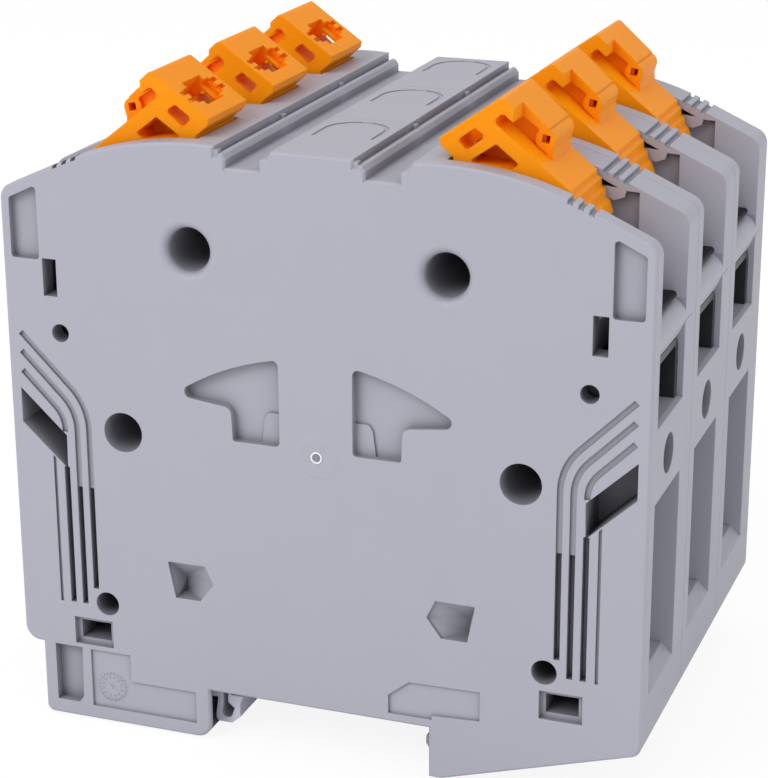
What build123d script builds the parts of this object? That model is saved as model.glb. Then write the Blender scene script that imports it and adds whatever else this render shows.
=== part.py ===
from build123d import *
import math
import os

# Three-pole high-current terminal block for a 35 mm rail.
# Millimetres. X runs along each pole, Y from the first pole to the last, Z up.
# Heights of a pole's features are measured from its datum, the small gate mark on the front face.

# Poles
pole_count = 3
pole_pitch = 25.0
front_wall = 3.3
rear_wall = 6.3
cover_skin = 2.0
edge_break = 0.35

# Outer form
half_length = 51.8
datum_height = 51.0
crown_radius = 53.0
crown_offset = 19.5
crown_height = 47.1
shoulder_inset = 10.3
corner_radius = 2.6
skirt_height = 12.6
skirt_radius = 2.5
left_foot_inset = 3.2
left_foot_inner = 18.95
foot_radius = 1.2
foot_corner = 2.6
foot_height = 8.5
rail_gap = 37.05
right_foot_flat = 2.0
right_foot_rise = 9.6
wall_notches = 3
wall_notch_inset = 13.7
wall_notch_pitch = 1.6
wall_notch_width = 0.8
wall_notch_depth = 0.55

# Marker grooves on the crown
groove_start = -15.65
groove_repeat = 22.05
groove_width = 9.05
groove_floor = 43.8
groove_slit = 0.45
groove_strip = 1.35
plateau_height = 46.8
relief_half_width = 5.1
relief_reach = 18.0
relief_front = 12.4
relief_line = 0.7
relief_depth = 0.15
groove_bridge = 1.5

# Lever hinge and the space that the lever swings in
hinge_x = 20.5
hinge_z = 30.5
hinge_bore = 3.4
hinge_boss = 4.5
hinge_clearance = 0.06
hub_wall = 2.0
hub_room = 1.4
swing_room = 0.9
swing_play = 1.8
mouth_x = 19.6
mouth_depth = 43.6
lever_travel = 40.0
lever_front = 4.1
lever_back = 18.2
arm_setback = 4.4
web_setback = 3.0

# Wire entry, clamp and busbar
lintel_top = 25.1
lintel_depth = 5.6
lintel_round = 1.6
entry_top = 21.8
entry_bottom = 10.0
entry_depth = 21.5
funnel_depth = 0.8
shaft_depth = 9.4
bar_thickness = 3.8
bar_width = 13.0
bar_setback = 7.8
bar_clearance = 0.15
frame_wall = 1.2
frame_width = 14.8
frame_setback = 0.9
frame_back_room = 0.7
frame_top = 19.6
frame_radius = 2.4
frame_head = 0.3
jaw_back_room = 2.7
jaw_length = 8.0
jaw_lift = 0.4
jaw_travel = 4.4
jaw_play = 0.3
jaw_clearance = 0.32
jaw_bevel = 0.9
spring_strip = 1.2
spring_seat = 0.3
spring_nose_setback = 1.2
spring_drop_setback = 7.5
spring_nose_width = 12.8
spring_foot_width = 10.2
window_room = 0.35

# Bores through the whole row
tie_bore_inset = 19.4
tie_bore_radius = 3.25

# Recesses of the end faces
probe_radius = 3.1
probe_height = 3.6
probe_depth = 6.0
pocket_depth = 11.8
pocket_top = -2.0
pocket_height = 7.4
pocket_bevel = 1.8
window_depth = 7.0
window_backing = 1.0
channel_width = 0.95
channel_pitch = 2.05
channel_bend = 9.5

# Rail latch
latch_reach = 4.05
latch_tail_wall = 2.5
latch_ceiling_room = 0.9
latch_floor = 1.3
latch_bar = 2.0
latch_mouth_wall = 0.9
latch_clearance = 0.3
latch_travel = 2.8
rail_lip_room = 2.2
hook_reach = 1.5

half_gap_left = -left_foot_inner
half_gap_right = rail_gap - left_foot_inner
left_foot_outer = half_length - left_foot_inset
feet_bottom = -datum_height
rail_ceiling = feet_bottom + foot_height
skirt_bottom = feet_bottom + skirt_height
shoulder = half_length - shoulder_inset
wall_notch_start = half_length - wall_notch_inset
chamber_back = pole_pitch - rear_wall
cover_face = pole_pitch - cover_skin
tie_bore_x = half_length - tie_bore_inset
bar_top = entry_bottom - 0.1
bar_bottom = bar_top - bar_thickness
bar_reach = half_length - bar_setback
lintel_inner = half_length - lintel_depth
shaft_inner = half_length - shaft_depth
entry_inner = half_length - entry_depth
entry_ceiling = frame_top + frame_head
frame_reach = half_length - frame_setback
frame_inner = entry_inner + frame_back_room
jaw_start = entry_inner + jaw_back_room
jaw_height = frame_top - frame_wall - jaw_play - jaw_travel - jaw_lift - bar_top
spring_nose = half_length - spring_nose_setback
spring_drop = half_length - spring_drop_setback
pocket_inner = half_length - pocket_depth
pocket_bottom = skirt_bottom + pocket_height
hub_inner = hinge_boss + hinge_clearance
hub_outer = hub_inner + hub_wall
latch_nose = left_foot_inner - latch_reach
latch_length = left_foot_outer - latch_tail_wall - latch_clearance - latch_travel - latch_nose
latch_top = rail_ceiling - latch_ceiling_room
latch_bottom = feet_bottom + latch_floor


def unit(x, z):
    """Unit vector of a direction in the pole's side view."""
    size = math.hypot(x, z)
    return x / size, z / size


def outline(*corners):
    """Closed face through corners (x, z), each rounded where it has a third number, its radius."""
    count = len(corners)
    runs = []
    for index in range(count):
        x, z = corners[index][0], corners[index][1]
        if len(corners[index]) == 2:
            runs.append([(x, z)])
            continue
        radius = corners[index][2]
        before = corners[index - 1]
        after = corners[(index + 1) % count]
        ax, az = unit(before[0] - x, before[1] - z)
        bx, bz = unit(after[0] - x, after[1] - z)
        half = math.acos(max(-1.0, min(1.0, ax * bx + az * bz))) / 2
        reach = radius / math.tan(half)
        mx, mz = unit(ax + bx, az + bz)
        inset = radius / math.sin(half) - radius
        runs.append([
            (x + ax * reach, z + az * reach),
            (x + mx * inset, z + mz * inset),
            (x + bx * reach, z + bz * reach),
        ])
    edges = []
    for index in range(count):
        run = runs[index]
        if len(run) == 3:
            edges.append(ThreePointArc(*run))
        start = run[-1]
        end = runs[(index + 1) % count][0]
        if math.dist(start, end) > 1e-6:
            edges.append(Line(start, end))
    return make_face(Wire(edges))


def disc(x, z, radius):
    """Round face in the pole's side view."""
    return Pos(x, z) * Circle(radius)


def prism(face, low, high):
    """Solid of a side-view face between two depths along Y."""
    return extrude(Plane.XZ.offset(-low) * face, amount=low - high)


def flare(x, z, radius, lip):
    """Cutter of a hole's rounded mouth in the front face."""
    share = lip * (1 - math.sqrt(0.5))
    arc = ThreePointArc((radius + lip, 0), (radius + share, share), (radius, lip))
    rest = Polyline((radius, lip), (0, lip), (0, -1), (radius + lip, -1), (radius + lip, 0))
    return Pos(x, 0, z) * revolve(make_face(Wire([arc] + rest.edges())), Axis.Y)


def block(x, y, z):
    """Box between two bounds along each axis."""
    size = Box(x[1] - x[0], y[1] - y[0], z[1] - z[0], align=(Align.MIN, Align.MIN, Align.MIN))
    return Pos(x[0], y[0], z[0]) * size


def sided(shape, side):
    """The right-hand shape, or its mirror image for the left."""
    return shape if side > 0 else mirror(shape, about=Plane.YZ)


def crown(x):
    """Height of the rounded crown at a distance from the middle."""
    centre = crown_height - crown_radius
    return centre + math.sqrt(crown_radius ** 2 - (abs(x) - crown_offset) ** 2)


def shoulder_slope():
    """Fall of the straight shoulder, tangent to the crown where it begins."""
    run = shoulder - crown_offset
    return run / math.sqrt(crown_radius ** 2 - run ** 2)


def crown_arc(side):
    """Arc from the marker groove out to the shoulder."""
    inner = groove_start if side < 0 else groove_start + groove_repeat + groove_width
    middle = side * (abs(inner) + shoulder) / 2
    outer = side * shoulder
    return ThreePointArc((inner, crown(inner)), (middle, crown(middle)), (outer, crown(outer)))


def groove_points(start):
    """One marker groove: slit, rounded strip, flat floor and stepped far bank."""
    strip = start + groove_slit
    floor_start = strip + groove_strip
    floor_end = start + groove_width - 1.85
    end = start + groove_width
    slit_floor = plateau_height - 1.25
    return [
        (start, slit_floor),
        (strip, slit_floor),
        (strip + 0.35, plateau_height - 0.85),
        (floor_start - 0.5, plateau_height - 1.05),
        (floor_start, plateau_height - 1.8),
        (floor_start, groove_floor),
        (floor_end, groove_floor),
        (floor_end, plateau_height - 1.45),
        (end - 0.7, plateau_height - 1.15),
    ]


def body_outline():
    """Side view of a pole, with both feet and the rail gap."""
    corner_x = half_length
    corner_z = crown(shoulder) - shoulder_slope() * (half_length - shoulder)
    right = half_gap_right
    left = half_gap_left
    lower = [
        (half_length, feet_bottom + right_foot_rise, 2.0),
        (right + right_foot_flat, feet_bottom),
        (right, feet_bottom),
        (right, rail_ceiling),
        (left, rail_ceiling),
        (left, feet_bottom, foot_corner),
        (-left_foot_outer, feet_bottom, foot_radius),
        (-left_foot_outer, skirt_bottom),
        (-half_length, skirt_bottom, skirt_radius),
    ]
    second = groove_start + groove_repeat
    grooves = groove_points(groove_start) + [(groove_start + groove_width, plateau_height)]
    grooves += [(second, plateau_height)] + groove_points(second)
    top = outline(
        (-corner_x, corner_z, corner_radius),
        (-shoulder, crown(shoulder)),
        (groove_start, crown(groove_start)),
        *grooves,
        (second + groove_width, crown(second + groove_width)),
        (shoulder, crown(shoulder)),
        (corner_x, corner_z, corner_radius),
        *lower,
    )
    for side in (-1, 1):
        arc = crown_arc(side)
        top += make_face(Wire([arc, Line(arc @ 1, arc @ 0)]))
    return top


def wall_notch_cutters(low, high):
    """Short grooves across the top edge of a wall, on both shoulders."""
    cutters = []
    for side in (-1, 1):
        for index in range(wall_notches):
            x = wall_notch_start + wall_notch_pitch * (index + 0.5)
            height = crown(x) if x < shoulder else crown(shoulder) - shoulder_slope() * (x - shoulder)
            half = wall_notch_width / 2
            notch = outline(
                (x - half, height + 1.5),
                (x - half, height - wall_notch_depth + 0.15),
                (x, height - wall_notch_depth),
                (x + half, height - wall_notch_depth - 0.1),
                (x + half, height + 1.5),
            )
            cutters.append(sided(prism(notch, low, high), side))
    return cutters


def swing_face():
    """Room for the lever of the right side, open at the top and the end."""
    reach = math.hypot(lever_tip()[0] - hinge_x, lever_tip()[1] - hinge_z) + swing_room
    far = 100.0
    raised = math.atan2(lever_tip()[1] - hinge_z, lever_tip()[0] - hinge_x)
    fall = math.radians(lever_travel + swing_play) - raised
    wedge = outline(
        (hinge_x, hinge_z),
        (hinge_x + far * math.cos(fall), hinge_z - far * math.sin(fall)),
        (far, far),
        (mouth_x, far),
        (mouth_x, mouth_depth),
        (hinge_x - hub_outer - hub_room + 0.5, hinge_z + 2.5),
    )
    swing = disc(hinge_x, hinge_z, reach) & wedge
    bay = outline(
        (mouth_x, far / 2),
        (far, far / 2),
        (far, lintel_top),
        (shaft_inner - 1.2, lintel_top),
        (hinge_x + 3.5, hinge_z + 7.0),
        (mouth_x, mouth_depth),
    )
    return swing + bay + disc(hinge_x, hinge_z, hub_outer + hub_room)


def lintel_face():
    """Bridge over the wire entry, bevelled below to guide the wire into the clamp."""
    return outline(
        (lintel_inner, lintel_top),
        (half_length, lintel_top, lintel_round),
        (half_length, entry_top),
        (half_length - funnel_depth, entry_ceiling),
        (lintel_inner, entry_ceiling),
    )


def entry_face():
    """Wire entry and clamp chamber of the right side, up the shaft behind the lintel."""
    far = 100.0
    chamber = outline(
        (entry_inner, bar_top),
        (half_length - funnel_depth, bar_top),
        (half_length, entry_bottom - 0.3),
        (far, entry_bottom - 0.3),
        (far, entry_top),
        (lintel_inner, entry_top),
        (lintel_inner, lintel_top + 1.0),
        (shaft_inner, lintel_top + 1.0),
        (shaft_inner, entry_ceiling),
        (entry_inner, entry_ceiling),
    )
    return chamber - lintel_face()


def pocket_face():
    """Large open pocket below the wire entry."""
    far = 100.0
    return outline(
        (pocket_inner, pocket_top),
        (far, pocket_top),
        (far, pocket_bottom - pocket_bevel),
        (half_length, pocket_bottom - pocket_bevel),
        (half_length - pocket_bevel, pocket_bottom),
        (pocket_inner, pocket_bottom),
    )


def latch_room():
    """Guide of the rail latch in the left foot, open towards the rail."""
    tail = latch_nose + latch_length + latch_travel + latch_clearance
    far = half_gap_left + 2.0
    return outline(
        (-tail, latch_top + latch_clearance),
        (far, latch_top + latch_clearance),
        (far, latch_bottom - latch_clearance),
        (-tail, latch_bottom - latch_clearance),
    )


def bar_room():
    """Slot through which the busbar runs from one clamp to the other."""
    reach = bar_reach + bar_clearance
    return outline(
        (-reach, bar_bottom - bar_clearance),
        (reach, bar_bottom - bar_clearance),
        (reach, bar_top + bar_clearance),
        (-reach, bar_top + bar_clearance),
    )


def mirrored(face):
    """A right-hand face and its mirror image."""
    return [face, mirror(face, about=Plane.YZ)]


def room_faces():
    """Every space that opens out of the housing between its two walls."""
    rooms = []
    for face in (swing_face(), entry_face(), pocket_face()):
        rooms += mirrored(face)
    rooms.append(bar_room())
    rooms.append(latch_room())
    return rooms


def front_cutters():
    """Holes, windows and recesses of the front wall, alike on both sides."""
    cutters = []
    through = front_wall + 1.0
    end = half_length
    foot = feet_bottom
    lower_hole = outline(
        (end - 15.2, foot + 14.1),
        (end - 10.0, foot + 14.1),
        (end - 10.0, foot + 17.2),
        (end - 15.2, foot + 17.2),
    )
    for side in (-1, 1):
        cutters.append(sided(flare(hinge_x, hinge_z, hinge_bore, 1.5), side))
        cutters.append(sided(prism(disc(tie_bore_x, 0.0, tie_bore_radius), -1, pole_pitch + 1), side))
        cutters.append(sided(prism(disc(end - 9.3, 15.2, 1.45), -1, through), side))
        cutters.append(sided(prism(disc(end - 15.3, foot + 21.1, 2.0), -1, 8.0), side))
        slot = outline((end - 9.1, 21.05), (end - 6.75, 21.05), (end - 6.75, 27.05), (end - 9.1, 27.05))
        cutters.append(sided(prism(slot, -1, through), side))
        cutters.append(sided(prism(window_face(), -1, window_depth), side))
        rim = offset(lower_hole, 0.8, kind=Kind.INTERSECTION)
        cutters.append(sided(prism(rim, -1, 1.0), side))
        cutters.append(sided(prism(lower_hole, -1, 14.0), side))
        corner = outline(
            (end - 6.25, 26.8),
            (end - 1.5, 26.8),
            (end - 1.5, 36.3),
            (end - 6.25, 38.6),
        )
        cutters.append(sided(prism(corner, -1, 1.2), side))
        cutters.append(sided(fin_cutter(), side))
        cutters.append(sided(pyramid_cutter(), side))
        cutters += [sided(cutter, side) for cutter in channel_cutters()]
    cutters.append(foot_recess())
    cutters += foot_panels()
    cutters.append(prism(disc(0.1, 0.0, 0.95) - disc(0.1, 0.0, 0.6), -1, 0.25))
    return cutters


def window_face():
    """Slanted window near the end of the front face, over the top of the end pocket."""
    end = half_length
    return outline((end - 1.8, 5.5), (end - 9.5, -1.7), (end - 9.4, -7.3), (end - 1.8, -0.25))


def window_backing_solid():
    """Wall inside the end pocket that closes the slanted window at its back."""
    end = half_length
    back = outline(
        (end - 10.6, pocket_top + 0.5),
        (end, pocket_top + 0.5),
        (end, -2.0),
        (end - 8.4, -8.4),
        (end - 10.6, -8.4),
    )
    return prism(back, front_wall - 0.5, window_depth + window_backing)


def fin_cutter():
    """Fin-shaped pocket beside the middle of the front face, with a low raised field at its root."""
    root = (6.0, 15.1)
    tip = (24.7, 7.6)
    fin = outline(
        (*root, 0.9),
        (5.95, 0.95, 0.7),
        (13.7, 0.95, 0.4),
        (13.9, 6.3, 1.3),
        (*tip, 1.03),
    )
    run_x, run_z = unit(tip[0] - root[0], tip[1] - root[1])
    near, far, bulge = 1.3, 16.1, 0.64
    middle = (near + far) / 2
    arc = ThreePointArc(
        (root[0] + run_x * near, root[1] + run_z * near),
        (root[0] + run_x * middle - run_z * bulge, root[1] + run_z * middle + run_x * bulge),
        (root[0] + run_x * far, root[1] + run_z * far),
    )
    fin += make_face(Wire([arc, Line(arc @ 1, arc @ 0)]))
    raised = outline((5.0, 0.0), (9.4, 0.0), (8.8, 4.9, 0.6), (8.2, 5.9, 0.6), (5.0, 5.9))
    return prism(fin, -1, 1.5) - prism(raised, 1.15, 2.0)


def pyramid_cutter():
    """Five-sided recess that narrows to a point."""
    mouth = outline((25.5, -20.9), (19.2, -20.9), (17.8, -23.8), (20.1, -26.9), (24.3, -26.9))
    tip = Pos(22.0, -23.7) * scale(Pos(-22.0, 23.7) * mouth, 0.12)
    return loft([Plane.XZ * mouth, Plane.XZ.offset(-9.0) * tip])


def channel_cutters():
    """Bent grooves from the end of the face down to the foot, and the step beside them."""
    end = half_length
    bottom = feet_bottom + 20.6
    half = channel_width / 2
    shallow = []
    deep = []
    lanes = [
        (end - 13.4, 3.6, -10.3, bottom + 2.9),
        (end - 11.35, 2.55, -10.3, bottom),
        (end - 9.25, 1.45, -1.0, bottom),
    ]
    for index, (lane, turn, meet, foot) in enumerate(lanes):
        rise = end - 2.3 - lane
        path = FilletPolyline(
            (end - 2.3, turn + rise),
            (lane, turn),
            (lane, meet - 0.1),
            radius=channel_bend - index * channel_pitch,
        )
        shallow.append(prism(trace(path, channel_width), -1, 0.45))
        top = meet if index < 2 else -7.0
        deep.append(block((lane - half, lane + half), (-1, 1.6), (foot, top)))
    step = outline((end - 7.4, -5.8), (end - 6.9, -5.3), (end - 6.9, bottom - 0.1), (end - 7.4, bottom - 0.1))
    return shallow + deep + [prism(step, -1, 0.4)]


def foot_recess():
    """Recess at the outer end of the left foot."""
    outer = 2.2 - left_foot_outer
    face = outline(
        (outer, feet_bottom + 2.6),
        (outer + 3.9, feet_bottom + 2.6),
        (outer + 4.7, feet_bottom + 3.7),
        (outer + 4.9, skirt_bottom),
        (outer, skirt_bottom),
    )
    return prism(face, -1, 1.8)


def foot_panels():
    """Shallow sunk fields on the left foot and above the right foot."""
    outer = 8.6 - left_foot_outer
    inner = half_gap_left - 2.5
    foot = feet_bottom
    gap = half_gap_right
    left = outline(
        (outer, foot + 2.4),
        (inner, foot + 2.4),
        (inner, foot + 7.8),
        (outer + 7.1, foot + 7.8),
        (outer + 7.1, foot + 12.5),
        (outer, foot + 12.5),
    )
    right = outline(
        (gap - 6.6, foot + 10.0),
        (gap - 6.6, foot + 13.1),
        (gap - 3.2, foot + 15.8),
        (gap + 8.3, foot + 16.0),
        (gap + 8.3, foot + 11.1),
        (gap + 0.5, foot + 10.7),
        (gap + 0.5, foot + 10.0),
    )
    return [prism(left, -1, 0.4), prism(right, -1, 0.4)]


def relief_cutter():
    """Thin curved line on the plateau, open towards the front of the pole."""
    def stadium(half):
        plan = Pos(0, relief_reach) * Circle(half)
        plan += Pos(0, relief_reach / 2) * Rectangle(2 * half, relief_reach)
        return extrude(Plane.XY.offset(plateau_height - relief_depth) * plan, amount=2)
    outer = stadium(relief_half_width)
    inner = stadium(relief_half_width - relief_line)
    return outer - inner - block((-9, 9), (-1, relief_front), (plateau_height - 2, plateau_height + 4))


def broken_edge(solid):
    """The solid with the edge of its front face broken."""
    face = solid.faces().sort_by(Axis.Y)[0]
    return chamfer(face.outer_wire().edges(), edge_break)


def make_housing():
    """Moulded housing of one pole, closed at the front and open at the back."""
    shell = broken_edge(prism(body_outline(), 0, cover_face))
    for face in room_faces():
        shell -= prism(face, front_wall, cover_face + 1)
    hook = outline(
        (half_gap_right + 0.5, rail_ceiling - rail_lip_room),
        (half_gap_right, rail_ceiling - rail_lip_room),
        (half_gap_right - hook_reach, rail_ceiling - rail_lip_room - 0.9, 0.4),
        (half_gap_right - hook_reach, rail_ceiling - rail_lip_room - 2.2, 0.4),
        (half_gap_right, rail_ceiling - rail_lip_room - 4.6),
        (half_gap_right + 0.5, rail_ceiling - rail_lip_room - 4.6),
    )
    shell += prism(hook, front_wall, chamber_back)
    for start in (groove_start, groove_start + groove_repeat):
        shell += block(
            (start - 0.1, start + groove_slit + 0.2),
            (edge_break, groove_bridge),
            (plateau_height - 1.6, plateau_height - 0.4),
        )
    shell -= block(
        (half_gap_left - latch_travel - 1.0, half_gap_left + 1.0),
        (latch_mouth_wall, front_wall + 0.1),
        (latch_bottom - latch_clearance, rail_ceiling),
    )
    for side in (-1, 1):
        boss = prism(disc(hinge_x, hinge_z, hinge_boss), front_wall - 0.5, chamber_back)
        shell += sided(boss, side)
        shell += sided(window_backing_solid(), side)
        bore = prism(disc(hinge_x, hinge_z, hinge_bore), -1, pole_pitch + 1)
        shell -= sided(bore, side)
        probe_face = Plane.YZ.offset(half_length - probe_depth)
        probe = probe_face * Pos(chamber_back / 2 + 1.5, probe_height) * Circle(probe_radius)
        shell -= sided(extrude(probe, amount=probe_depth + 1), side)
    for cutter in front_cutters() + wall_notch_cutters(-1, front_wall):
        shell -= cutter
    return shell - relief_cutter()


def make_cover():
    """Rear cover of one pole: a skin, and plugs that close the housing's rooms."""
    skin = prism(body_outline(), cover_face, pole_pitch)
    plug = None
    for face in room_faces():
        inset = prism(face, chamber_back, cover_face)
        plug = inset if plug is None else plug + inset
    cover = skin + (plug & prism(body_outline(), chamber_back, cover_face))
    for side in (-1, 1):
        cover -= sided(prism(disc(hinge_x, hinge_z, hinge_bore), 0, pole_pitch + 1), side)
        cover -= sided(prism(disc(tie_bore_x, 0.0, tie_bore_radius), 0, pole_pitch + 1), side)
        tab_recess = outline(
            (36.5, 27.5),
            (44.2, 27.5),
            (44.2, 40.5),
            (42.2, 40.6),
            (41.9, 39.6),
            (40.3, 39.0),
            (38.6, 39.6),
            (36.5, 39.3),
        )
        cover -= sided(prism(tab_recess, chamber_back - 1, chamber_back + 1.4), side)
        wedge = outline((38.0, 42.4), (40.9, 41.0), (38.3, 41.2))
        cover -= sided(prism(wedge, chamber_back - 1, chamber_back + 2.2), side)
    for cutter in wall_notch_cutters(chamber_back - 1, pole_pitch + 1):
        cover -= cutter
    return cover - relief_cutter()


def lever_tip():
    """Outer lower tip of the raised lever."""
    return 40.5, 37.5


def make_lever():
    """Operating lever of the right side: hub, webbed head, grip steps and a springy tongue."""
    root_z = 47.2
    tip_x, tip_z = lever_tip()
    hub_side = hinge_x - hub_outer * 0.45
    body = outline(
        (18.1, 50.0),
        (27.5, 56.6, 0.7),
        (33.2, 51.5),
        (32.6, 50.7),
        (28.6, 53.4),
        (27.6, 54.3),
        (26.2, 52.9),
        (37.8, 43.7),
        (37.9, 42.9),
        (38.5, 42.5),
        (38.6, 41.3),
        (39.2, 40.9),
        (39.3, 39.7),
        (39.9, 39.2),
        (tip_x, tip_z),
        (39.2, 36.9),
        (hinge_x + 9.0 * math.cos(math.radians(19)), hinge_z + 9.0 * math.sin(math.radians(19)), 1.5),
        (hinge_x + 2.0, hinge_z),
        (hub_side, hinge_z),
        (hub_side, 37.0, 2.0),
        (20.3, 43.6),
        (20.3, root_z),
        (18.3, 49.0),
    )
    solid = prism(body, lever_front, lever_back)
    solid += prism(disc(hinge_x, hinge_z, hub_outer), lever_front, lever_back)
    arm_front = lever_front + arm_setback
    arm_step = outline((29.2, 52.0), (36.0, 46.9), (36.0, 60.0), (29.2, 60.0))
    solid -= prism(arm_step, lever_front - 1, arm_front)
    web = outline((26.0, 52.9), (27.6, 54.5), (28.7, 53.6), (32.7, 50.9), (32.3, 47.9))
    solid += prism(web, arm_front + web_setback, lever_back)
    ring = disc(32.65, 49.85, 1.5)
    neck = outline((31.55, 48.85), (33.0, 47.6), (33.0, 46.9), (33.9, 46.5), (33.75, 48.2), (34.1, 49.5))
    collar = outline((31.4, 52.2), (33.3, 51.4), (32.9, 50.6), (33.9, 50.2), (31.9, 49.9))
    for piece in (ring, neck, collar):
        solid += prism(piece, arm_front, lever_back)
    eye = Pos(32.75, 49.9) * Rot(0, 0, -10) * Rectangle(1.2, 1.2)
    solid -= prism(eye, arm_front - 1, arm_front + 4.0)
    window_sink = 5.0
    upper_window = outline((20.9, 49.9), (23.5, 51.8), (25.1, 50.7), (22.3, 48.4))
    lower_window = outline(
        (23.1, 47.2),
        (26.7, 49.7),
        (30.1, 47.0),
        (29.1, 46.1),
        (23.2, 46.75),
    )
    root_window = outline(
        (22.6, 42.2),
        (29.2, 42.2),
        (33.6, 38.4),
        (27.5, 36.6),
        (22.6, 39.4),
    )
    for window in (upper_window, lower_window, root_window):
        solid -= prism(window, lever_front - 1, lever_front + window_sink)
        solid -= prism(window, lever_back - window_sink, lever_back + 1)
    solid -= driver_pocket()
    return solid - prism(disc(hinge_x, hinge_z, hub_inner), lever_front - 1, lever_back + 1)


def driver_pocket():
    """Stepped pocket in the head's inner face, where a screwdriver turns the lever."""
    middle = (lever_front + lever_back) / 2
    tilt = math.degrees(math.atan2(56.6 - 50.0, 27.5 - 18.1))
    face = Pos(18.1, middle, 50.1) * Rot(0, -tilt, 0)

    def sunk(near, far, half_width, depth):
        return face * block((near, far), (-half_width, half_width), (-depth, 2.0))

    pocket = sunk(2.2, 7.3, 3.1, 3.4) + sunk(3.1, 6.3, 4.6, 1.3)
    return pocket + sunk(3.6, 4.4, 6.3, 0.7) + sunk(5.2, 6.0, 6.3, 0.7)


def make_frame():
    """Bent steel frame round the wire space, open at the bottom over the busbar."""
    middle = (front_wall + chamber_back) / 2
    half = frame_width / 2
    base = bar_top + 0.1
    section = Plane.YZ.offset(frame_inner) * outline(
        (middle - half, base),
        (middle - half, frame_top, frame_radius),
        (middle + half, frame_top, frame_radius),
        (middle + half, base),
        (middle + half - frame_wall, base),
        (middle + half - frame_wall, frame_top - frame_wall, frame_radius - frame_wall),
        (middle - half + frame_wall, frame_top - frame_wall, frame_radius - frame_wall),
        (middle - half + frame_wall, base),
    )
    frame = extrude(section, amount=frame_reach - frame_inner)
    slot_half = spring_foot_width / 2 + window_room
    window = block(
        (jaw_start + 1.5, lintel_inner - 0.4),
        (middle - slot_half, middle + slot_half),
        (frame_top - frame_wall - 1.0, frame_top + 1.0),
    )
    return frame - window


def make_jaw():
    """Clamping jaw that rides in the frame, toothed underneath."""
    middle = (front_wall + chamber_back) / 2
    half = frame_width / 2 - frame_wall - jaw_clearance
    bottom = bar_top + jaw_lift
    end = jaw_start + jaw_length
    teeth = []
    tooth_count = 4
    pitch = jaw_length / tooth_count
    for index in range(tooth_count):
        teeth.append((jaw_start + pitch * index, bottom + 0.5))
        teeth.append((jaw_start + pitch * (index + 0.5), bottom))
    profile = outline(
        *teeth,
        (end, bottom + 0.5),
        (end, bottom + jaw_height - 1.2),
        (end - 1.2, bottom + jaw_height),
        (jaw_start, bottom + jaw_height),
    )
    jaw = prism(profile, middle - half, middle + half)
    top = jaw.faces().sort_by(Axis.Z)[-1]
    return chamfer(top.edges().filter_by(Axis.X), jaw_bevel)


def make_spring():
    """Clamp spring strip: a nose on the lintel, a leg down the shaft and a foot above the jaw."""
    middle = (front_wall + chamber_back) / 2
    half_strip = spring_strip / 2
    nose_z = lintel_top + spring_seat + half_strip
    foot_z = bar_top + jaw_lift + jaw_height + spring_seat + half_strip
    path = FilletPolyline(
        (spring_nose - half_strip, nose_z),
        (spring_drop, nose_z),
        (spring_drop, foot_z + 5.0),
        (jaw_start + 5.0, foot_z + 0.3),
        radius=1.6,
    )
    strip = trace(path, spring_strip) + disc(spring_nose - half_strip, nose_z, half_strip)
    foot_half = spring_foot_width / 2
    nose_half = spring_nose_width / 2
    nose = strip & outline((30, frame_top + window_room), (60, frame_top + window_room), (60, 40), (30, 40))
    leg = prism(strip, middle - foot_half, middle + foot_half)
    return leg + prism(nose, middle - nose_half, middle + nose_half)


def make_busbar():
    """Copper bar from clamp to clamp, with its upper edges broken."""
    middle = (front_wall + chamber_back) / 2
    bar = block(
        (-bar_reach, bar_reach),
        (middle - bar_width / 2, middle + bar_width / 2),
        (bar_bottom, bar_top),
    )
    ends = bar.faces().sort_by(Axis.X)
    return chamfer(ends[0].edges() + ends[-1].edges(), 0.6)


def make_latch():
    """Rail latch: a bar in the left foot and a springy hook with a keyhole cut behind it."""
    nose = -latch_nose
    lip = rail_ceiling - rail_lip_room
    profile = outline(
        (nose - latch_length, latch_top),
        (nose - 3.55, latch_top),
        (nose - 3.55, latch_bottom + 3.6),
        (nose - 4.0, latch_bottom + 0.9, 0.8),
        (nose - 2.2, latch_bottom + 0.9, 0.8),
        (nose - 1.6, latch_bottom + 2.7),
        (nose - 2.7, latch_bottom + 3.6),
        (nose - 2.7, latch_top),
        (nose - 2.2, latch_top),
        (nose - 2.2, lip),
        (nose, lip),
        (nose - 0.6, lip - 1.4),
        (nose - 0.6, latch_bottom + 1.3),
        (nose - 2.1, latch_bottom),
        (nose - 4.7, latch_bottom, 0.5),
        (nose - 4.9, latch_bottom + 0.9),
        (nose - 4.45, latch_top - latch_bar),
        (nose - latch_length, latch_top - latch_bar),
    )
    return prism(profile, front_wall + 0.7, chamber_back - 0.7)


def save(shape, name, depth):
    """Write one piece at its place in the row of poles."""
    place = Pos(0, depth - pole_count * pole_pitch / 2, datum_height)
    placed = place * shape
    placed.label = name
    export_step(placed, "parts/" + name + ".step")


def main():
    """Make one pole's pieces and write them for each pole."""
    os.makedirs("parts", exist_ok=True)
    housing = make_housing()
    cover = make_cover()
    busbar = make_busbar()
    latch = make_latch()
    right_pieces = {
        "lever": make_lever(),
        "clamp_frame": make_frame(),
        "clamp_jaw": make_jaw(),
        "clamp_spring": make_spring(),
    }
    for pole in range(pole_count):
        depth = pole * pole_pitch
        number = "_" + str(pole + 1)
        save(housing, "housing" + number, depth)
        save(cover, "cover" + number, depth)
        save(busbar, "busbar" + number, depth)
        save(latch, "rail_latch" + number, depth)
        for name, piece in right_pieces.items():
            save(sided(piece, 1), name + "_right" + number, depth)
            save(sided(piece, -1), name + "_left" + number, depth)


main()
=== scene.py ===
import bmesh
import bpy
import numpy as np
from mathutils import Matrix, Vector


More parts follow.
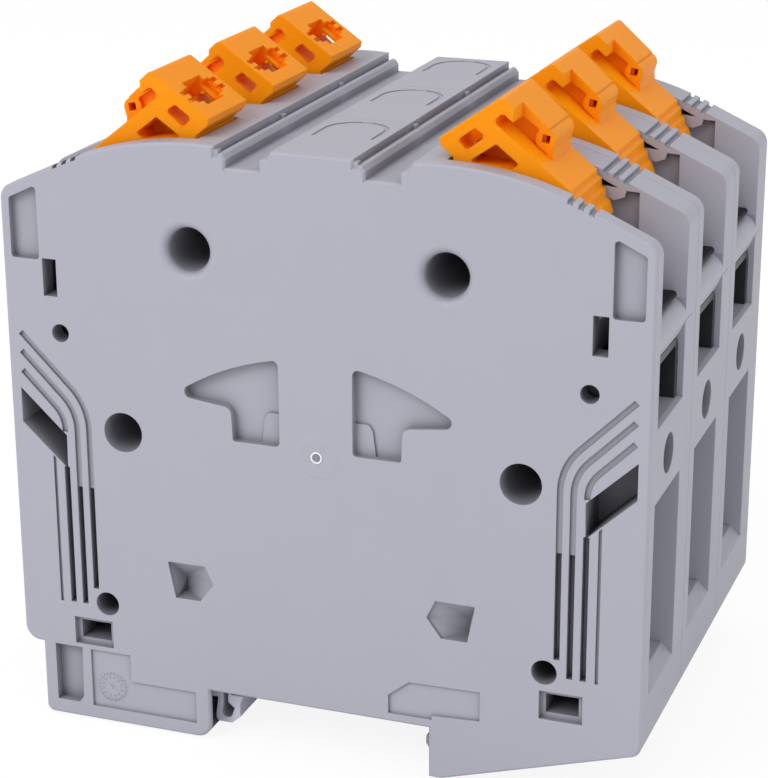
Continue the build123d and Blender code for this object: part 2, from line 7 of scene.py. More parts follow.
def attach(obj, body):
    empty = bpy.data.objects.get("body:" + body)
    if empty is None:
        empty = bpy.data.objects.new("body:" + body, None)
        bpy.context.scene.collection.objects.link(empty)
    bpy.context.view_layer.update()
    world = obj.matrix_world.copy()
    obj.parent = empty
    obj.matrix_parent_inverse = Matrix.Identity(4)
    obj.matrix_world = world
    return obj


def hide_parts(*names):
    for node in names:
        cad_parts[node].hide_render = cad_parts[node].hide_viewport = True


bl_info = {
    "name": "High-current terminal block",
    "version": (1, 0, 0),
    "blender": (4, 5, 0),
    "location": "3D View > Sidebar > Terminal block",
    "description": "Finishes, small mouldings and studio of a lever-clamp terminal block",
    "category": "Object",
}

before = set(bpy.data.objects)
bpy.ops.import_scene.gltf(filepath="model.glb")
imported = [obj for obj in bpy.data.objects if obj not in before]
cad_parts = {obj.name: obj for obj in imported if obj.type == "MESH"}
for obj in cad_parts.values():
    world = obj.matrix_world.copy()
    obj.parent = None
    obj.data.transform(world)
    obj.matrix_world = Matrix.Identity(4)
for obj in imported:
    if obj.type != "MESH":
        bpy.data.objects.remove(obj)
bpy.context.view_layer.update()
MM = 0.001
POLES = 3
PITCH = 25.0
DATUM = 51.0
ROW_BODY = "housing_row"
TO_ROW = np.array((0.0, -PITCH * POLES / 2, DATUM))

# Pairs of depths behind a pole's front face, in millimetres, between which a bar is carried.
RECESS_DEPTHS = (0.0, 1.25)
PLUG_DEPTHS = (0.0, 9.4)
LINTEL_DEPTHS = (3.3, 18.7)
FRONT_WINDOW_DEPTHS = (4.1, 9.15)
BACK_WINDOW_DEPTHS = (13.15, 18.2)
HOOK_DEPTHS = (4.1, 11.55)
WEB_DEPTHS = (9.3, 11.7)

# Outlines (x, z) on the right half of a pole, in millimetres from its middle and from the datum height.
CORNER_RECESS = ((45.55, 26.8), (50.3, 26.8), (50.3, 36.3), (45.55, 38.6))
RIDGE_MOUTH = ((25.5, -20.9), (19.2, -20.9), (17.8, -23.8), (20.1, -26.9), (24.3, -26.9))
RIDGE_PLUG = ((25.53, -20.88), (19.18, -20.88), (17.77, -23.8), (20.08, -26.93), (24.32, -26.93))
RIDGE = ((23.73, -24.6), (23.95, -26.7))
UPPER_WINDOW = ((20.9, 49.9), (23.5, 51.8), (25.1, 50.7), (22.3, 48.4))
LOWER_WINDOW = ((23.1, 47.2), (26.7, 49.7), (30.1, 47.0), (29.1, 46.1), (23.2, 46.75))
HOOK = ((28.6, 53.4), (27.6, 54.3), (26.2, 52.9), (37.8, 43.7))
SLOT_WEB = ((26.0, 52.9), (27.6, 54.5), (28.7, 53.6), (32.7, 50.9), (32.3, 47.9))


def row_point(x, depth, height):
    """Point in the row frame, in metres, from a place on the poles in millimetres."""
    return (x * MM, (depth - PITCH * POLES / 2) * MM, (height + DATUM) * MM)


class Shade:
    """One output of a material's node, which takes part in sums and products."""

    def __init__(self, tree, socket=None):
        self.tree = tree
        self.socket = socket

    def make(self, kind, settings=None, sockets=None, output=0):
        """Adds a node of a type, with its settings set first, then the values or links of its sockets."""
        node = self.tree.nodes.new(kind)
        for name, value in (settings or {}).items():
            if name == "stops":
                ramp = node.color_ramp
                for index, (place, colour) in enumerate(value):
                    stop = ramp.elements[index] if index < 2 else ramp.elements.new(place)
                    stop.position = place
                    stop.color = colour
            else:
                setattr(node, name, value)
        for name, value in (sockets or {}).items():
            if isinstance(value, Shade):
                self.tree.links.new(value.socket, node.inputs[name])
            else:
                node.inputs[name].default_value = value
        return Shade(self.tree, node.outputs[output])

    def math(self, operation, first, second=0.0):
        return self.make("ShaderNodeMath", {"operation": operation}, {0: first, 1: second})

    def __add__(self, other):
        return self.math("ADD", self, other)

    def __sub__(self, other):
        return self.math("SUBTRACT", self, other)

    def __rsub__(self, other):
        return self.math("SUBTRACT", other, self)

    def __mul__(self, other):
        return self.math("MULTIPLY", self, other)

    def __truediv__(self, other):
        return self.math("DIVIDE", self, other)

    def power(self, exponent):
        return self.math("POWER", self, exponent)

    def clamped(self):
        return self.make("ShaderNodeClamp", {}, {"Value": self})

    def blend(self, low, high):
        """Colour between two, with this value as the share of the second."""
        return self.make(
            "ShaderNodeMix",
            {"data_type": "RGBA"},
            {"Factor": self, 6: low, 7: high},
            output=2,
        )


def linear(colour):
    """Linear colour, with alpha, of a colour written in the usual 0 to 255 steps."""
    steps = [step / 255 for step in colour]
    return opaque(s / 12.92 if s <= 0.04045 else ((s + 0.055) / 1.055) ** 2.4 for s in steps)


def opaque(steps):
    """Colour with full alpha."""
    return tuple(steps) + (1.0,)


def new_material(name):
    """Empty material with its shader and a Shade to start from."""
    material = bpy.data.materials.new(name)
    material.use_nodes = True
    tree = material.node_tree
    shader = tree.nodes["Principled BSDF"]
    return material, Shade(tree), shader


def place_of(start):
    """Place on the object, in metres, in the row frame."""
    return start.make("ShaderNodeTexCoord", {}, {}, output="Object")


def noise(start, place, size, detail=2.0, roughness=0.5):
    """Cloudy value from 0 to 1 whose lumps are of one size, in metres."""
    sockets = {"Vector": place, "Scale": 1 / size, "Detail": detail, "Roughness": roughness}
    return start.make("ShaderNodeTexNoise", {"noise_dimensions": "3D"}, sockets)


def edge_highlight_share(start, rounded):
    """How far the rounded normal departs from the flat one: 0 on faces, more along edges; it sets where a
    highlight is painted.
    """
    flat = start.make("ShaderNodeNewGeometry", {}, {}, output="True Normal")
    settings = {"operation": "DOT_PRODUCT"}
    agree = start.make("ShaderNodeVectorMath", settings, {0: rounded, 1: flat}, output="Value")
    steepness = 6.0
    return ((1.0 - agree) * steepness).clamped()


def openness(start, painted_shade_reach):
    """Share of the sky left to a point by its own moulding: 1 on outer faces, near 0 deep in a hole; it sets
    where shade is painted into the colour.
    """
    settings = {"samples": 8, "only_local": True}
    return start.make("ShaderNodeAmbientOcclusion", settings, {"Distance": painted_shade_reach}, output="AO")


def moulded(
    name, colour, painted_shade_colour, roughness, rounding, grain, painted_shade_reach=0.007, spread=0.2, shine=0.35,
):
    """Moulded plastic: soft edges, a fine grain, faint clouds of colour, a painted highlight that makes its
    edges paler and painted shade that darkens its holes and recesses.
    """
    cloud_size = 0.011
    speckle_size = 0.00045
    scuff_size = 0.0045
    painted_shade_curve = 0.68
    edge_highlight_gain = 0.10
    material, start, shader = new_material(name)
    place = place_of(start)
    rounded = start.make("ShaderNodeBevel", {"samples": 6}, {"Radius": rounding})
    edge = edge_highlight_share(start, rounded)
    clouds = noise(start, place, cloud_size, 4.0, 0.6)
    speckle = noise(start, place, speckle_size, 2.0, 0.6)
    # Random clouds and specks of tone, plus a painted highlight that makes the colour paler along edges.
    shade = (clouds - 0.5) * 0.10 + (speckle - 0.5) * 0.05 + edge * edge_highlight_gain
    base = linear(colour)
    dark = opaque(c * (1 - spread) for c in base[:3])
    pale = opaque(min(1.0, c * (1 + spread)) for c in base[:3])
    tint = (shade + 0.5).clamped().blend(dark, pale)
    # Painted shade: the colour is darkened toward the painted shade colour where the moulding closes in
    # around a point, in holes and recesses.
    tint = openness(start, painted_shade_reach).power(painted_shade_curve).blend(linear(painted_shade_colour), tint)
    scuffs = noise(start, place, scuff_size, 5.0, 0.7)
    start.tree.links.new(tint.socket, shader.inputs["Base Color"])
    rough = (scuffs - 0.5) * 0.12 + roughness
    start.tree.links.new(rough.socket, shader.inputs["Roughness"])
    height = noise(start, place, grain, 3.0, 0.6)
    sockets = {"Strength": 0.12, "Distance": grain * 0.35, "Height": height, "Normal": rounded}
    bump = start.make("ShaderNodeBump", {}, sockets)
    start.tree.links.new(bump.socket, shader.inputs["Normal"])
    shader.inputs["Specular IOR Level"].default_value = shine
    return material


def whitened(name, colour, centre, face, height, hollow):
    """Grey plastic, torn and pale where it stands in front of a face, with painted shade that darkens a
    hollow in its middle.

    The paleness grows to the full over the height in front of the face. The hollow is given by its radius.
    """
    material, start, shader = new_material(name)
    place = place_of(start)
    depth = start.make("ShaderNodeSeparateXYZ", {}, {"Vector": place}, output="Y")
    settings = {"operation": "DISTANCE"}
    away = start.make("ShaderNodeVectorMath", settings, {0: place, 1: centre}, output="Value")
    share = ((face - depth) / height).clamped()
    # Painted shade: within the hollow's radius the grey is darkened to 0.55 of itself.
    inside = ((hollow - away) / (hollow * 0.3)).clamped()
    dark = opaque(step * 0.55 for step in linear(colour)[:3])
    tint = inside.blend(linear(colour), dark)
    tint = share.blend(tint, linear((250, 250, 252)))
    start.tree.links.new(tint.socket, shader.inputs["Base Color"])
    shader.inputs["Roughness"].default_value = 0.42
    shader.inputs["Specular IOR Level"].default_value = 0.35
    return material


def rolled_metal(name, colour, roughness, stain, rounding):
    """Rolled or plated metal: fine lines along the strip, stains and soft edges."""
    material, start, shader = new_material(name)
    place = place_of(start)
    line_size = 0.0003
    stain_size = 0.004
    stretched = start.make("ShaderNodeMapping", {}, {"Vector": place, "Scale": (0.08, 1.0, 1.0)})
    lines = noise(start, stretched, line_size, 3.0, 0.6)
    stains = noise(start, place, stain_size, 4.0, 0.6)
    base = linear(colour)
    dull = opaque(c * (1 - stain) for c in base[:3])
    tint = (stains * 1.4 - 0.2).clamped().blend(dull, base)
    start.tree.links.new(tint.socket, shader.inputs["Base Color"])
    rough = (lines - 0.5) * 0.2 + stains * 0.12 + roughness
    start.tree.links.new(rough.socket, shader.inputs["Roughness"])
    rounded = start.make("ShaderNodeBevel", {"samples": 6}, {"Radius": rounding})
    sockets = {"Strength": 0.15, "Distance": 0.00005, "Height": lines, "Normal": rounded}
    bump = start.make("ShaderNodeBump", {}, sockets)
    start.tree.links.new(bump.socket, shader.inputs["Normal"])
    shader.inputs["Metallic"].default_value = 1.0
    return material


def dress(node, material):
    """Gives a CAD node its finish."""
    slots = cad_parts[node].material_slots
    for slot in slots:
        slot.material = material
    if not slots:
        raise RuntimeError(node + " has no material slot")


def nodes_of(kind):
    """Names of the CAD nodes of one kind."""
    return [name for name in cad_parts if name.startswith(kind)]


def new_piece(name, points, faces):
    """Mesh object of a list of points, in metres, and of faces that give their numbers."""
    mesh = bpy.data.meshes.new(name)
    mesh.from_pydata(points, [], faces)
    mesh.update()
    piece = bpy.data.objects.new(name, mesh)
    bpy.context.scene.collection.objects.link(piece)
    return piece


def surface(name, points, closed=False):
    """Mesh object of a grid of points, rows by columns, whose last column joins the first where closed."""
    rows, columns = points.shape[:2]
    row_ids = np.arange(rows - 1)
    column_ids = np.arange(columns if closed else columns - 1)
    near, along = np.meshgrid(row_ids, column_ids, indexing="ij")
    far = near + 1
    beside = (along + 1) % columns
    corners = ((near, along), (far, along), (far, beside), (near, beside))
    quads = np.stack([row * columns + column for row, column in corners], axis=-1)
    return new_piece(name, points.reshape(-1, 3).tolist(), quads.reshape(-1, 4).tolist())


def weld(piece):
    """Joins doubled points, such as those at a pole, and turns all faces outwards."""
    shape = bmesh.new()
    shape.from_mesh(piece.data)
    bmesh.ops.remove_doubles(shape, verts=shape.verts, dist=1e-7)
    bmesh.ops.dissolve_degenerate(shape, edges=shape.edges, dist=1e-8)
    bmesh.ops.recalc_face_normals(shape, faces=shape.faces)
    shape.to_mesh(piece.data)
    shape.free()
    piece.data.update()
    return piece


def bars(name, profiles):
    """Mesh object of closed bars: each profile (x, z) is carried straight from one depth to another.

    Point k of a profile stands at (x_k, depth, z_k) at both depths. Its sides are quads, its ends are flat.
    """
    points = []
    faces = []
    for profile, low, high in profiles:
        ring = np.asarray(profile, dtype=float)
        count = len(ring)
        first = len(points)
        for depth in (low, high):
            points += np.stack((ring[:, 0], np.full(count, depth), ring[:, 1]), axis=-1).tolist()
        near = first + np.arange(count)
        beside = first + (np.arange(count) + 1) % count
        faces += np.stack((near, beside, beside + count, near + count), axis=-1).tolist()
        faces += [near.tolist(), (near + count).tolist()]
    return weld(new_piece(name, ((np.array(points) + TO_ROW) * MM).tolist(), faces))


def ridge_cutters(name):
    """Mesh object of two wedges, mirror images: straight for a rim, then sloping to a short deep ridge.

    Points 0 to 4 are the mouth in front of the face, 5 to 9 the foot of its rim, and 10 and 11 the ridge.
    """
    outside = -0.5
    rim_depth = 0.6
    ridge_depth = 3.5
    front = [(0, 1, 2, 3, 4)]
    rim = [(k, (k + 1) % 5, (k + 1) % 5 + 5, k + 5) for k in range(5)]
    slopes = [(5, 6, 10), (6, 7, 10), (7, 8, 11), (7, 11, 10), (8, 9, 11), (9, 5, 10), (9, 10, 11)]
    rings = ((RIDGE_MOUTH, outside), (RIDGE_MOUTH, rim_depth), (RIDGE, ridge_depth))
    points = []
    faces = []
    for side in (-1, 1):
        first = len(points)
        points += [(side * x, depth, z) for ring, depth in rings for x, z in ring]
        faces += [[first + k for k in face] for face in front + rim + slopes]
    return weld(new_piece(name, ((np.array(points) + TO_ROW) * MM).tolist(), faces))


def corner_fillet(before, corner, after, radius):
    """Profile that rounds one inner corner of an opening: the corner, and an arc that touches both sides.

    With half the corner's angle h, the arc's centre lies radius / sin(h) from the corner along the bisector,
    and it touches the sides at radius / tan(h). The corner's own side is pushed into the wall by a hair.
    """
    hair = 0.05
    before, corner, after = (np.array(point, dtype=float) for point in (before, corner, after))
    one = (before - corner) / np.linalg.norm(before - corner)
    two = (after - corner) / np.linalg.norm(after - corner)
    middle = (one + two) / np.linalg.norm(one + two)
    half = np.arccos(np.clip(one @ two, -1.0, 1.0)) / 2
    centre = corner + middle * radius / np.sin(half)
    touch = [corner + side * radius / np.tan(half) for side in (one, two)]
    inward = [middle - (middle @ side) * side for side in (one, two)]
    outer = [point - hair * normal / np.linalg.norm(normal) for point, normal in zip(touch, inward)]
    arc_points = 9
    share = np.linspace(0.0, 1.0, arc_points)[:, None]
    chord = touch[1] * (1.0 - share) + touch[0] * share - centre
    arc = centre + radius * chord / np.linalg.norm(chord, axis=1)[:, None]
    sunk_corner = corner - hair * middle / np.sin(half)
    return np.concatenate(((outer[0], sunk_corner, outer[1]), arc))


def lintel_bead():
    """Profile that rounds the edge over a wire entry: a quarter circle, closed outside the moulding."""
    centre_x = 49.5
    centre_z = 22.8
    radius = 2.3
    outer_x = 52.6
    top_z = 25.9
    turn = np.linspace(0.0, np.pi / 2, 17)
    arc = np.stack((centre_x + radius * np.sin(turn), centre_z + radius * np.cos(turn)), axis=-1)
    return np.concatenate((arc, ((outer_x, centre_z), (outer_x, top_z), (centre_x, top_z))))


def window_fillets(corners, radius, low, high):
    """Fillets for every corner of a polygonal opening, between two depths."""
    count = len(corners)
    return [
        (corner_fillet(corners[k - 1], corners[k], corners[(k + 1) % count], radius), low, high)
        for k in range(count)
    ]


def mirrored(profiles, side):
    """The right-hand profiles, or their mirror images for the left."""
    return [(np.asarray(profile) * (side, 1.0), low, high) for profile, low, high in profiles]


def combined(piece, tool, operation):
    """Cuts a tool out of a piece, or joins it on, and takes the tool away."""
    step = piece.modifiers.new(operation.lower(), "BOOLEAN")
    step.operation = operation
    step.solver = "EXACT"
    step.object = tool
    graph = bpy.context.evaluated_depsgraph_get()
    mesh = bpy.data.meshes.new_from_object(piece.evaluated_get(graph))
    piece.modifiers.clear()
    piece.data = mesh
    bpy.data.objects.remove(tool)


def softened(node, name, fillers):
    """Welded copy of a CAD node with bars joined on that fill its inner corners."""
    piece = bpy.data.objects.new(name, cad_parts[node].data.copy())
    bpy.context.scene.collection.objects.link(piece)
    combined(weld(piece), bars("fillers", fillers), "UNION")
    return piece


def split_faces(piece):
    """Splits a piece's faces into triangles, so that every copy of it is split in the same way."""
    shape = bmesh.new()
    shape.from_mesh(piece.data)
    bmesh.ops.triangulate(shape, faces=shape.faces, quad_method="FIXED", ngon_method="EAR_CLIP")
    shape.to_mesh(piece.data)
    shape.free()


def flat(piece):
    """Shades every face of a piece flat."""
    polygons = piece.data.polygons
    polygons.foreach_set("use_smooth", np.zeros(len(polygons), dtype=bool))


def copied(piece, name, side=1, pole=0):
    """Copy of a piece at another pole, or its mirror image at the other end where side is -1."""
    mesh = piece.data.copy()
    places = np.empty(len(mesh.vertices) * 3)
    mesh.vertices.foreach_get("co", places)
    places = places.reshape(-1, 3) * (side, 1.0, 1.0) + np.array((0.0, PITCH * pole * MM, 0.0))
    mesh.vertices.foreach_set("co", places.ravel())
    if side < 0:
        mesh.flip_normals()
    mesh.update()
    copy = bpy.data.objects.new(name, mesh)
    bpy.context.scene.collection.objects.link(copy)
    return copy


def stand_in(piece, node, body, material):
    """Dresses a piece, makes it move with its body and lets it stand for a CAD node."""
    piece.data.materials.clear()
    piece.data.materials.append(material)
    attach(piece, body)
    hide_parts(node)


def bump_over(value, centre, half_width):
    """Smooth hill of height 1 at a centre that falls to 0 at its half width: (1 - t^2)^2 where t < 1."""
    share = np.clip(np.abs(value - centre) / half_width, 0.0, 1.0)
    return (1.0 - share ** 2) ** 2


def round_relief(name, x, height, face_depth, radius, rise, root):
    """Round relief on the front face of the first pole, closed at its back inside the moulding.

    A point at radius r and angle a stands rise(r, a) in front of the face. The grid runs from the middle out
    to the rim, back to a depth of root behind the face, and in to the middle again.
    """
    steps = 72
    turns = 288
    out = np.linspace(0.0, radius, steps)
    radii = np.concatenate((out, [radius, 0.0]))[:, None]
    angles = np.linspace(0.0, 2 * np.pi, turns, endpoint=False)[None, :]
    lift = rise(radii, angles) * np.ones_like(radii * angles)
    lift[-2:] = -root
    points = np.stack((
        x + radii * np.cos(angles),
        face_depth - lift,
        height + radii * np.sin(angles),
    ), axis=-1)
    return weld(surface(name, (points + TO_ROW) * MM, closed=True))


def fall_off(radii, full, none):
    """Smooth step down with s the share of the way from full to none: 1 - s^2 (3 - 2 s)."""
    share = np.clip((radii - full) / (none - full), 0.0, 1.0)
    return 1.0 - share ** 2 * (3.0 - 2.0 * share)


def tick_ring(radii, angles, count, radius, half_length, half_angle):
    """Ring of equal smooth ticks of height 1."""
    tick = bump_over(np.mod(angles, 2 * np.pi / count), np.pi / count, half_angle)
    return tick * bump_over(radii, radius, half_length)


def dial_rise(radii, angles):
    """Low disc with 24 outer and 12 inner ticks, and a sunk pointer that has a raised lip along one side."""
    outer = tick_ring(radii, angles, 24, radius=2.35, half_length=0.36, half_angle=0.075)
    inner = tick_ring(radii, angles, 12, radius=1.65, half_length=0.26, half_angle=0.12)
    pointer_angle = np.radians(124.0)
    across = radii * np.sin(angles - pointer_angle)
    along = radii * np.cos(angles - pointer_angle)
    shaft = bump_over(across, 0.0, 0.28) * bump_over(along, -0.1, 1.35)
    lip = bump_over(across, -0.34, 0.2) * bump_over(along, -0.1, 1.2)
    disc = 0.12 * fall_off(radii, 2.2, 2.85)
    return 0.01 + disc + 0.22 * outer + 0.20 * inner - 0.12 * shaft + 0.12 * lip


def gate_rise(radii, angles):
    """Torn round rim with a short nub inside, in a faint dish whose edge is highest at 2.9 mm."""
    rim = 0.22 * bump_over(radii, 0.82, 0.24)
    nub = 0.14 * bump_over(radii * np.cos(angles - 0.6), 0.0, 0.22) * bump_over(radii, 0.0, 0.6)
    dish = 0.07 * fall_off(radii, 2.9, 3.5) * np.clip(radii / 2.9, 0.0, 1.0) ** 2
    return 0.01 + rim + nub + dish


class TerminalBlockSettings(bpy.types.PropertyGroup):
    """Sizes and colours of the block's finish."""

    housing_colour: bpy.props.FloatVectorProperty(
        name="Housing colour", description="Colour of the moulded poles, in steps of 0 to 255",
        size=3, default=(172.0, 172.0, 184.0))
    # Painted shade: the colour that the grey plastic is darkened to in deep holes and recesses.
    housing_painted_shade_colour: bpy.props.FloatVectorProperty(
        name="Housing depth colour", description="Colour that the grey plastic sinks to in deep holes",
        size=3, default=(70.0, 70.0, 75.0))
    lever_colour: bpy.props.FloatVectorProperty(
        name="Lever colour", description="Colour of the levers, in steps of 0 to 255",
        size=3, default=(255.0, 151.0, 8.0))
    # Painted shade: the colour that the orange plastic is darkened to in its recesses.
    lever_painted_shade_colour: bpy.props.FloatVectorProperty(
        name="Lever depth colour", description="Colour that the orange plastic sinks to in its recesses",
        size=3, default=(255.0, 104.0, 0.0))
    edge_rounding: bpy.props.FloatProperty(
        name="Edge rounding", description="Radius of the soft edges of the mouldings",
        default=0.00022, unit="LENGTH")
    grain_size: bpy.props.FloatProperty(
        name="Grain size", description="Size of the moulded grain", default=0.00016, unit="LENGTH")


class TERMINALBLOCK_OT_housings(bpy.types.Operator):
    """Round the housings' corners, slope their small recesses and make housings and covers grey plastic"""
    bl_idname = "terminalblock.housings"
    bl_label = "Finish housings"

    def execute(self, context):
        look = context.scene.terminal_block
        grey = moulded(
            "housing_plastic", look.housing_colour, look.housing_painted_shade_colour, roughness=0.46,
            rounding=look.edge_rounding, grain=look.grain_size)
        for node in nodes_of("cover_"):
            dress(node, grey)
        recess_radius = 0.55
        fillers = []
        cutters = []
        for side in (-1, 1):
            fillers += mirrored(window_fillets(CORNER_RECESS, recess_radius, *RECESS_DEPTHS), side)
            fillers += mirrored([(RIDGE_PLUG, *PLUG_DEPTHS)], side)
            cutters += mirrored([(lintel_bead(), *LINTEL_DEPTHS)], side)
        first = softened("housing_1", "soft_housing_1", fillers)
        combined(first, bars("cutters", cutters), "DIFFERENCE")
        combined(first, ridge_cutters("wedges"), "DIFFERENCE")
        flat(first)
        for pole in range(POLES):
            number = str(pole + 1)
            piece = copied(first, "soft_housing_" + number, pole=pole) if pole else first
            stand_in(piece, "housing_" + number, ROW_BODY, grey)
        return {"FINISHED"}


class TERMINALBLOCK_OT_mould_marks(bpy.types.Operator):
    """Add the small round dial on the left foot and the gate mark in the middle of the front face"""
    bl_idname = "terminalblock.mould_marks"
    bl_label = "Add mould marks"

    def execute(self, context):
        look = context.scene.terminal_block
        gate_x = 0.1
        pieces = [
            round_relief(
                "foot_dial", x=-36.5, height=-44.7, face_depth=0.4, radius=2.75, rise=dial_rise, root=0.3),
            round_relief(
                "gate_mark", x=gate_x, height=0.0, face_depth=0.0, radius=3.5, rise=gate_rise, root=0.4),
        ]
        grey = moulded(
            "mark_plastic", look.housing_colour, look.housing_painted_shade_colour, roughness=0.42,
            rounding=look.edge_rounding * 0.2, grain=look.grain_size, painted_shade_reach=0.002)
        for piece in pieces:
            piece.data.materials.append(grey)
            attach(piece, ROW_BODY)
        middle = row_point(gate_x, 0.0, 0.0)
        torn_height = 0.0001
        torn = whitened(
            "torn_plastic", look.housing_colour, middle, face=middle[1] - torn_height, height=torn_height,
            hollow=0.00068)
        pieces[1].data.materials[0] = torn
        return {"FINISHED"}


class TERMINALBLOCK_OT_latches(bpy.types.Operator):
    """Give the rail latches a grey moulded finish, painted paler than the housings to lighten the shade they
    sit in
    """
    bl_idname = "terminalblock.latches"
    bl_label = "Finish rail latches"

    def execute(self, context):
        look = context.scene.terminal_block
        # Painted light: the latch grey is the housing grey made 1.22 times paler, to lighten the shade the
        # latches sit in; their painted shade colour is the housing's multiplied by 1.9.
        colour = [step * 1.22 for step in look.housing_colour]
        deep = [step * 1.9 for step in look.housing_painted_shade_colour]
        grey = moulded(
            "latch_plastic", colour, deep, roughness=0.40, rounding=look.edge_rounding, grain=look.grain_size,
            painted_shade_reach=0.0025)
        for node in nodes_of("rail_latch_"):
            dress(node, grey)
        return {"FINISHED"}


class TERMINALBLOCK_OT_levers(bpy.types.Operator):
    """Round the levers' inner corners, bring their slots' webs forward and give them their orange finish"""
    bl_idname = "terminalblock.levers"
    bl_label = "Finish levers"

    def execute(self, context):
        look = context.scene.terminal_block
        orange = moulded(
            "lever_plastic", look.lever_colour, look.lever_painted_shade_colour, roughness=0.40,
            rounding=look.edge_rounding * 1.3, grain=look.grain_size, painted_shade_reach=0.002, spread=0.05, shine=0.12)
        shader = orange.node_tree.nodes["Principled BSDF"]
        shader.inputs["Subsurface Weight"].default_value = 0.35
        shader.inputs["Subsurface Scale"].default_value = 0.002
        shader.inputs["Subsurface Radius"].default_value = (1.0, 0.5, 0.2)
        hook_radius = 0.75
        fillers = []
        for corners, radius in ((UPPER_WINDOW, 0.6), (LOWER_WINDOW, 0.4)):
            fillers += window_fillets(corners, radius, *FRONT_WINDOW_DEPTHS)
            fillers += window_fillets(corners, radius, *BACK_WINDOW_DEPTHS)
        for before, corner, after in (HOOK[:3], HOOK[1:]):
            fillers.append((corner_fillet(before, corner, after, hook_radius), *HOOK_DEPTHS))
        right = softened("lever_right_1", "soft_lever_right_1", fillers)
        combined(right, bars("web", [(SLOT_WEB, *WEB_DEPTHS)]), "UNION")
        split_faces(right)
        flat(right)
        for hand, side in (("right_", 1), ("left_", -1)):
            first = copied(right, "soft_lever_left_1", side=side) if side < 0 else right
            for pole in range(POLES):
                tail = hand + str(pole + 1)
                piece = copied(first, "soft_lever_" + tail, pole=pole) if pole else first
                stand_in(piece, "lever_" + tail, "lever_" + tail, orange)
        return {"FINISHED"}


class TERMINALBLOCK_OT_metals(bpy.types.Operator):
    """Give the busbars, clamps and springs their metal finishes"""
    bl_idname = "terminalblock.metals"
    bl_label = "Finish metal parts"

    def execute(self, context):
        copper = rolled_metal("copper_bar", (200, 132, 100), roughness=0.34, stain=0.35, rounding=0.0003)
        steel = rolled_metal("plated_steel", (88, 90, 94), roughness=0.36, stain=0.30, rounding=0.0002)
        spring = rolled_metal("spring_steel", (36, 37, 41), roughness=0.42, stain=0.35, rounding=0.0003)
        for node in nodes_of("busbar_"):
            dress(node, copper)
        for node in nodes_of("clamp_frame_") + nodes_of("clamp_jaw_"):
            dress(node, steel)
        for node in nodes_of("clamp_spring_"):
            dress(node, spring)
        return {"FINISHED"}


def studio_lamp(name, place, target, size, power):
    """Square soft lamp that faces a point of the object."""
    data = bpy.data.lights.new(name, "AREA")
    data.shape = "SQUARE"
    data.size = size
    data.energy = power
    lamp = bpy.data.objects.new(name, data)
    bpy.context.scene.collection.objects.link(lamp)
    lamp.location = place
    lamp.rotation_euler = (Vector(target) - Vector(place)).to_track_quat("-Z", "Y").to_euler()


def white_room():
    """World that is white to the camera and in reflections, and lights the object at a plain level."""
    world = bpy.data.worlds.new("studio")
    bpy.context.scene.world = world
    world.use_nodes = True
    tree = world.node_tree
    ray = tree.nodes.new("ShaderNodeLightPath")
    seen = Shade(tree, ray.outputs["Is Camera Ray"]) + Shade(tree, ray.outputs["Is Transmission Ray"])
    glossy = Shade(tree, ray.outputs["Is Glossy Ray"])
    plain_level = 0.61
    seen_gain = 0.39
    glossy_gain = 0.06
    strength = seen.clamped() * seen_gain + glossy * glossy_gain + plain_level
    background = tree.nodes["Background"]
    background.inputs["Color"].default_value = (1.0, 1.0, 1.0, 1.0)
    tree.links.new(strength.socket, background.inputs["Strength"])


def floor_material():
    """Pale floor: white to the camera where it is lit, darker in the object's shadow."""
    material, start, shader = new_material("pale_floor")
    shader.inputs["Base Color"].default_value = (0.92, 0.92, 0.93, 1.0)
    shader.inputs["Roughness"].default_value = 0.9
    shader.inputs["Specular IOR Level"].default_value = 0.1
    tree = start.tree
    ray = tree.nodes.new("ShaderNodeLightPath")
    glow_strength = 1.04
    glow_share = 0.85
    glow = start.make("ShaderNodeEmission", {}, {"Color": (1.0, 1.0, 1.0, 1.0), "Strength": glow_strength})
    share = Shade(tree, ray.outputs["Is Camera Ray"]) * glow_share
    mixed = start.make("ShaderNodeMixShader", {}, {0: share, 1: Shade(tree, shader.outputs[0]), 2: glow})
    tree.links.new(mixed.socket, tree.nodes["Material Output"].inputs["Surface"])
    return material


def photo_camera():
    """Camera solved from the photo: its axes in the row frame, and its place in pole millimetres."""
    photo_height = 778
    focal_pixels = 2328.94
    sensor_width = 36.0
    right = Vector((0.937833, 0.347061, -0.004289))
    up = Vector((-0.111208, 0.312166, 0.943496))
    back = Vector((0.328789, -0.884365, 0.331356))
    place = row_point(124.436, -305.007, 126.623)
    data = bpy.data.cameras.new("photo_camera")
    data.sensor_width = sensor_width
    data.lens = focal_pixels / photo_height * sensor_width
    data.clip_start = 0.01
    camera = bpy.data.objects.new("photo_camera", data)
    bpy.context.scene.collection.objects.link(camera)
    columns = Matrix((right, up, back)).transposed().to_4x4()
    camera.matrix_world = Matrix.Translation(place) @ columns
    return camera


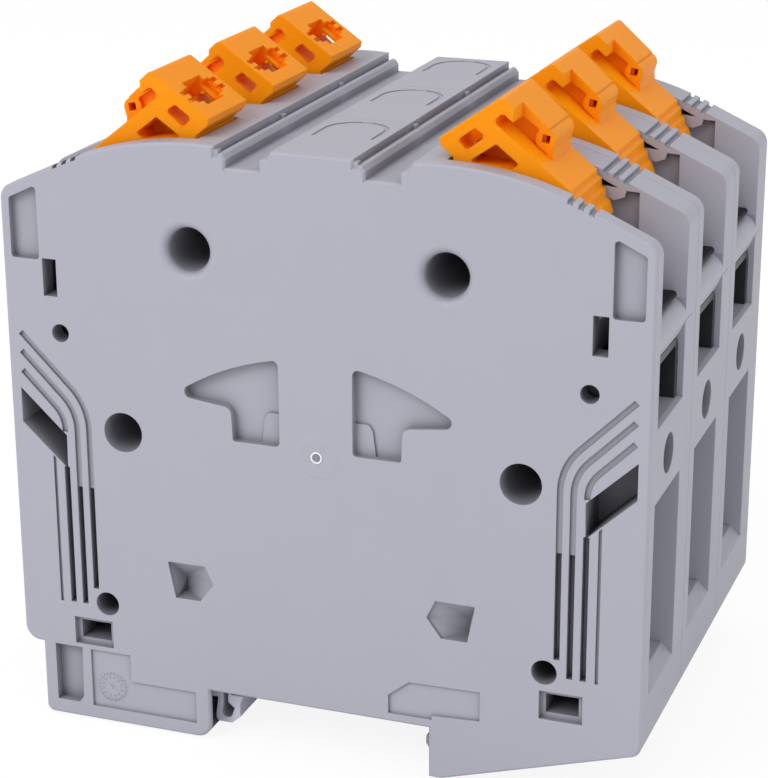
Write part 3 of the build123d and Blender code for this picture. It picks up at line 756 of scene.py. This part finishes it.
class TERMINALBLOCK_OT_stage(bpy.types.Operator):
    """Set up the pale floor, the soft lamps and the camera"""
    bl_idname = "terminalblock.stage"
    bl_label = "Set up stage"

    def execute(self, context):
        scene = context.scene
        scene.view_settings.view_transform = "Standard"
        floor_half = 1.6
        floor_height = -0.0004
        side = np.linspace(-floor_half, floor_half, 9)
        across, along = np.meshgrid(side, side, indexing="ij")
        floor = surface("floor", np.stack((across, along, np.full_like(across, floor_height)), axis=-1))
        floor.data.materials.append(floor_material())
        white_room()
        middle = (0.0, 0.0, 0.05)
        studio_lamp("key_lamp", (-0.45, -0.75, 0.75), middle, size=0.6, power=5.4)
        studio_lamp("end_lamp", (0.95, -0.25, 0.45), middle, size=0.5, power=1.5)
        studio_lamp("top_lamp", (0.05, 0.25, 0.95), middle, size=0.7, power=1.2)
        scene.camera = photo_camera()
        return {"FINISHED"}


class TERMINALBLOCK_PT_panel(bpy.types.Panel):
    """Lists the block's steps in the sidebar"""
    bl_idname = "TERMINALBLOCK_PT_panel"
    bl_label = "Terminal block"
    bl_space_type = "VIEW_3D"
    bl_region_type = "UI"
    bl_category = "Terminal block"

    def draw(self, context):
        look = context.scene.terminal_block
        for name in look.bl_rna.properties.keys():
            if name not in ("rna_type", "name"):
                self.layout.prop(look, name)
        for step in STEPS:
            self.layout.operator(step.bl_idname)


STEPS = (
    TERMINALBLOCK_OT_stage,
    TERMINALBLOCK_OT_housings,
    TERMINALBLOCK_OT_mould_marks,
    TERMINALBLOCK_OT_latches,
    TERMINALBLOCK_OT_levers,
    TERMINALBLOCK_OT_metals,
)
CLASSES = (TerminalBlockSettings,) + STEPS + (TERMINALBLOCK_PT_panel,)


def register():
    """Register the classes and the block's settings."""
    for kind in CLASSES:
        bpy.utils.register_class(kind)
    bpy.types.Scene.terminal_block = bpy.props.PointerProperty(type=TerminalBlockSettings)


def unregister():
    """Take the settings and classes away again."""
    del bpy.types.Scene.terminal_block
    for kind in reversed(CLASSES):
        bpy.utils.unregister_class(kind)


def main():
    """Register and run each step."""
    register()
    bpy.ops.terminalblock.stage()
    bpy.ops.terminalblock.housings()
    bpy.ops.terminalblock.mould_marks()
    bpy.ops.terminalblock.latches()
    bpy.ops.terminalblock.levers()
    bpy.ops.terminalblock.metals()


if __name__ == "__main__":
    main()
